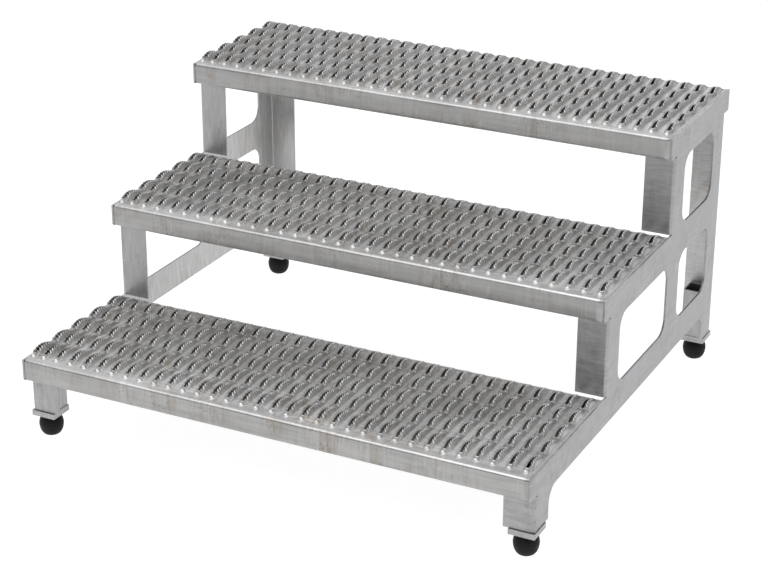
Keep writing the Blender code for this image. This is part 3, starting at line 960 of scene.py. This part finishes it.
def rubber_foot(corner, material):
    node = "rubber_foot_" + corner
    low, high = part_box(node)
    middle = middle_of(node)
    belly = (high.x - low.x) / 2 + 0.1 * MM
    floor = high.z - SOCKET_DEPTH
    profile = foot_outline(high.z, belly)
    profile += [(SOCKET_RADIUS + 0.5 * MM, high.z), (SOCKET_RADIUS, high.z - 0.5 * MM)]
    profile += [(SOCKET_RADIUS, floor), (0.0, floor)]
    obj = turned("bulb_foot_" + corner, profile, middle)
    set_point_attribute(obj, lambda co: max(0.0, 1.0 - co.z / DUST_HEIGHT))
    return finish_piece(obj, material, "foot_rubber", "foot_" + corner, node, angle=50)


def weld_bead(name, start, end, radius, material, seed):
    """A rippled bead between two points."""
    axis = end - start
    length = axis.length
    axis.normalize()
    side = axis.orthogonal().normalized()
    up = axis.cross(side)
    count = max(6, int(length / WELD_RIPPLE) * 6)
    rings = []
    for i in range(count + 1):
        along = length * i / count
        wave = abs(math.sin(math.pi * along / WELD_RIPPLE))
        fade = min(1.0, along / radius * 0.6 + 0.25, (length - along) / radius * 0.6 + 0.25)
        wander = 0.12 * math.sin(along * 310 + seed) + 0.08 * math.sin(along * 730 + 2 * seed)
        reach = radius * fade * (0.84 + 0.16 * wave + wander * 0.5)
        centre = start + axis * (along + WELD_RIPPLE * 0.105 * wave)
        rings.append([centre + side * p.x + up * p.y for p in circle(reach, 12)])
    obj = swept_rings(name, rings)
    return finish_piece(obj, material, "frame_aluminium", STAND, angle=45)


def tread_welds(material):
    """Stitches under each plank's ends, in the corner with the side frame."""
    for number, name in enumerate(TREADS):
        low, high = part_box(name)
        z = DECKS[number] - TREAD_SHEET - 2.2 * MM
        for side, way in SIDES.items():
            x = way * (HALF_WIDTH - SIDE_SHEET - 1.2 * MM)
            for i, share in enumerate((0.28, 0.5, 0.84)):
                middle = low.y + (high.y - low.y) * share
                ends = [Vector((x, middle + half * STITCH_HALF, z)) for half in (-1, 1)]
                weld_bead(f"weld_{name}_{side}_{i}", *ends, STITCH_RADIUS, material, number * 7 + i)


def leg_welds(corner, material):
    """Beads between a leg tube and its side frame, and between the tube and its foot plate."""
    low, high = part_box("leg_tube_" + corner)
    way = 1 if corner.endswith("right") else -1
    facing = -1 if corner.startswith("front") else 1
    inner_x = low.x if way > 0 else high.x
    outer_x = high.x if way > 0 else low.x
    inner_y = high.y if facing < 0 else low.y
    outer_y = low.y if facing < 0 else high.y
    for i, (x, y) in enumerate(((outer_x - way * 0.6 * MM, inner_y), (inner_x, outer_y - facing * 0.6 * MM))):
        ends = [Vector((x, y, low.z + 12 * MM)), Vector((x, y, high.z - 22 * MM))]
        weld_bead(f"weld_tube_{corner}_{i}", *ends, TUBE_BEAD, material, i * 3 + 1)
    z = low.z + 0.2 * MM
    begin = 3 * MM
    stop = 5 * MM
    x_ends = [Vector((x, inner_y, z)) for x in (inner_x + way * begin, outer_x - way * stop)]
    y_ends = [Vector((inner_x, y, z)) for y in (inner_y + facing * begin, outer_y - facing * stop)]
    weld_bead(f"weld_plate_{corner}_0", *x_ends, PLATE_BEAD, material, 5)
    weld_bead(f"weld_plate_{corner}_1", *y_ends, PLATE_BEAD, material, 8)


# --- stage ---------------------------------------------------------------------------------------

def area_light(name, location, target, size, power):
    data = bpy.data.lights.new(name, "AREA")
    data.shape = "RECTANGLE"
    data.size = size[0]
    data.size_y = size[1]
    data.energy = power
    light = bpy.data.objects.new(name, data)
    light.location = location
    light.rotation_euler = (Vector(target) - Vector(location)).to_track_quat("-Z", "Y").to_euler()
    bpy.context.scene.collection.objects.link(light)
    return light


def studio_world():
    """Grey walls: darker towards the camera's side, brighter overhead."""
    world = bpy.data.worlds.new("studio")
    bpy.context.scene.world = world
    world.use_nodes = True
    tree = world.node_tree

    def spread(value, low, high, out_low, out_high):
        node = tree.nodes.new("ShaderNodeMapRange")
        node.interpolation_type = "SMOOTHSTEP"
        for socket, number in zip(("From Min", "From Max"), (low, high)):
            node.inputs[socket].default_value = number
        for socket, source in zip(("To Min", "To Max"), (out_low, out_high)):
            if isinstance(source, float):
                node.inputs[socket].default_value = source
            else:
                tree.links.new(source, node.inputs[socket])
        tree.links.new(value, node.inputs["Value"])
        return node.outputs["Result"]

    way = tree.nodes.new("ShaderNodeSeparateXYZ")
    tree.links.new(tree.nodes.new("ShaderNodeTexCoord").outputs["Generated"], way.inputs[0])
    horizon = spread(way.outputs["Y"], -0.8, 0.3, 0.36, 0.74)
    height = spread(way.outputs["Z"], 0.30, 0.85, horizon, 0.80)
    side = spread(way.outputs["X"], -0.5, 0.55, 1.0, 0.60)
    product = tree.nodes.new("ShaderNodeMath")
    product.operation = "MULTIPLY"
    tree.links.new(height, product.inputs[0])
    tree.links.new(side, product.inputs[1])
    shade = product.outputs["Value"]
    background = tree.nodes["Background"]
    background.inputs["Color"].default_value = (0.97, 0.98, 1.0, 1)
    tree.links.new(shade, background.inputs["Strength"])


def make_stage():
    bm = bmesh.new()
    bmesh.ops.create_grid(bm, x_segments=1, y_segments=1, size=FLOOR_HALF)
    floor = object_from("studio_floor", bm)
    floor.location.z = FLOOR_LEVEL
    floor_material = bpy.data.materials.new("pale_floor")
    floor_material.use_nodes = True
    shader = floor_material.node_tree.nodes["Principled BSDF"]
    shader.inputs["Base Color"].default_value = (0.4, 0.4, 0.4, 1)
    shader.inputs["Roughness"].default_value = 0.95
    shader.inputs["Specular IOR Level"].default_value = 0.0
    shader.inputs["Emission Color"].default_value = (1, 1, 1, 1)
    shader.inputs["Emission Strength"].default_value = 0.86
    floor.data.materials.append(floor_material)
    studio_world()
    area_light("overhead", (0.2, -1.1, 2.8), (0, 0, 0.2), (3.6, 3.2), 36)
    area_light("right_strip", (3.2, -0.2, 2.4), (0, 0, 0.2), (1.6, 1.0), 8)
    bpy.context.scene.view_settings.view_transform = "Standard"


def make_camera():
    low, high = CAD_BOX
    a, e = math.radians(CAMERA_AZIMUTH), math.radians(CAMERA_ELEVATION)
    back = Vector((math.sin(a) * math.cos(e), -math.cos(a) * math.cos(e), math.sin(e)))
    right = Vector((math.cos(a), math.sin(a), 0))
    up = back.cross(right)
    data = bpy.data.cameras.new("camera")
    data.lens = LENS
    data.sensor_width = SENSOR
    camera = bpy.data.objects.new("camera", data)
    roll = math.radians(CAMERA_ROLL)
    across = right * math.cos(roll) + up * math.sin(roll)
    upright = up * math.cos(roll) - right * math.sin(roll)
    turn = Matrix((across, upright, back)).transposed()
    place = (low + high) / 2 + back * CAMERA_DISTANCE + right * CAMERA_ASIDE[0] + up * CAMERA_ASIDE[1]
    camera.matrix_world = Matrix.Translation(place) @ turn.to_4x4()
    bpy.context.scene.collection.objects.link(camera)
    bpy.context.scene.camera = camera


def build():
    tread_metal = aluminium("mill_plank", (0.43, 0.426, 0.422), 0.36, grain=(9, 260, 110),
                            streak=(420, 60, 14), offset=33, stain=0.75, specks=0.80, dust_and_painted_light=True)
    # painted light: a lighter copy of the plank's own metal for its shaded underside
    under_metal_painted_lighter = aluminium("mill_plank_underside_painted_lighter", (0.54, 0.537, 0.532), 0.42, grain=(9, 260, 150),
                            streak=(420, 60, 14), offset=27, stain=0.70, specks=0.60)
    tube_metal = aluminium("mill_tube", (0.40, 0.40, 0.405), 0.40, grain=(600, 600, 40), streak=(80, 80, 20),
                           offset=41, stain=0.45)
    black = rubber()
    plated = zinc()
    bead = weld_metal()
    rolled = {"left": ((620, 620, 40), (130, 130, 16)), "right": ((40, 40, 620), (16, 16, 130))}
    for side, (grain, streak) in rolled.items():
        outer = aluminium("mill_sheet_" + side, (0.375, 0.375, 0.382), 0.42, grain, streak,
                          offset=1, stain=0.45, painted_edge_highlight=True)
        # painted light: a lighter copy of the sheet's own metal for its inner faces, which sit in the frame's
        # shade
        inner = aluminium("mill_sheet_inside_painted_lighter_" + side, (0.53, 0.53, 0.53), 0.44, grain, streak,
                          offset=9, stain=0.5)
        side_frame(side, outer, inner)
    for name in TREADS:
        plank(name, tread_metal, under_metal_painted_lighter)
    for corner in CORNERS:
        leg_tube(corner, tube_metal)
        foot_plate(corner, tube_metal)
        hex_nut(corner, plated)
        threaded_stud(corner, plated)
        rubber_foot(corner, black)
        leg_welds(corner, bead)
    tread_welds(bead)


build()
make_camera()
make_stage()
